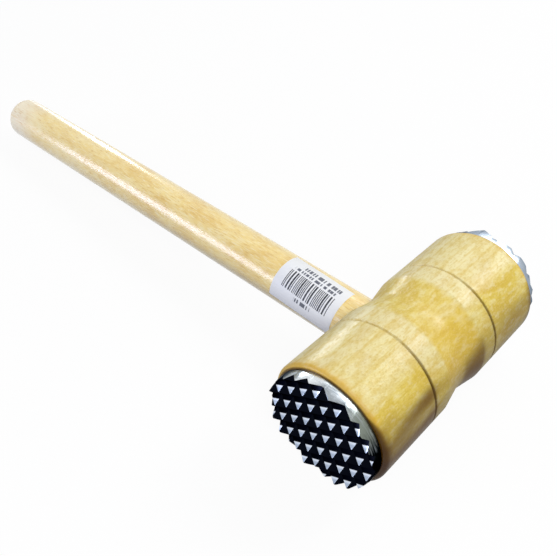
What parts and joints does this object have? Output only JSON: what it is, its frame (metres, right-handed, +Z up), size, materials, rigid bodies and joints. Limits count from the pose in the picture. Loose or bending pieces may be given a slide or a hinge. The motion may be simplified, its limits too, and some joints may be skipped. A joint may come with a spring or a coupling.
{
  "type": "meat mallet",
  "caption": "Double-faced wooden meat mallet: a waisted, turned head on a straight round handle, with a cast metal tooth plate on each end, fine on one and coarse on the other.",
  "frame": {"origin": "on the worktop, under the middle of the mallet's box as it lies on the head's side and the handle's butt", "axes": "+X from the handle's butt to the head, +Y along the head's axis from the fine face to the coarse face, +Z up"},
  "size_m": [0.32, 0.12, 0.0539],
  "materials": {
    "head_wood": "clear varnished hardwood, turned, with grain along the head's axis",
    "handle_wood": "clear varnished hardwood dowel, with grain along the handle",
    "tooth_plate": "die cast, bright and smooth",
    "stud": "plain drawn steel",
    "label": "white paper sticker with plain printed bars"
  },
  "bodies": {
    "root": {"head": "head_wood", "handle": "handle_wood", "fine_tooth_plate": "tooth_plate", "coarse_tooth_plate": "tooth_plate", "fine_plate_stud": "stud", "coarse_plate_stud": "stud", "handle_label": "label"}
  },
  "joints": []
}
